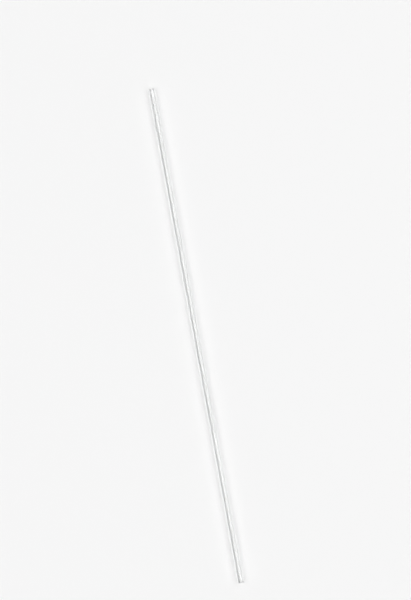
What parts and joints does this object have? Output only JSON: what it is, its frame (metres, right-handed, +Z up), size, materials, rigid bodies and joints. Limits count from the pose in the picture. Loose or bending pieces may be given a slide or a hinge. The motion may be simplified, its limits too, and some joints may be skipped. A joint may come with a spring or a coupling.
{
  "type": "glass capillary tube",
  "caption": "Slender straight glass tube, open at both ends, with a hair-fine bore that fills end to end with a set volume.",
  "frame": {"origin": "middle of the line that the tube lies on, on the surface under it", "axes": "+X along the tube and its bore, +Z up, the two ends alike"},
  "size_m": [0.064, 0.0006, 0.0007],
  "materials": {
    "clear_glass": "clear, colourless drawn glass, smooth, ends lightly melted"
  },
  "bodies": {
    "root": {"capillary_tube": "clear_glass"}
  },
  "joints": []
}
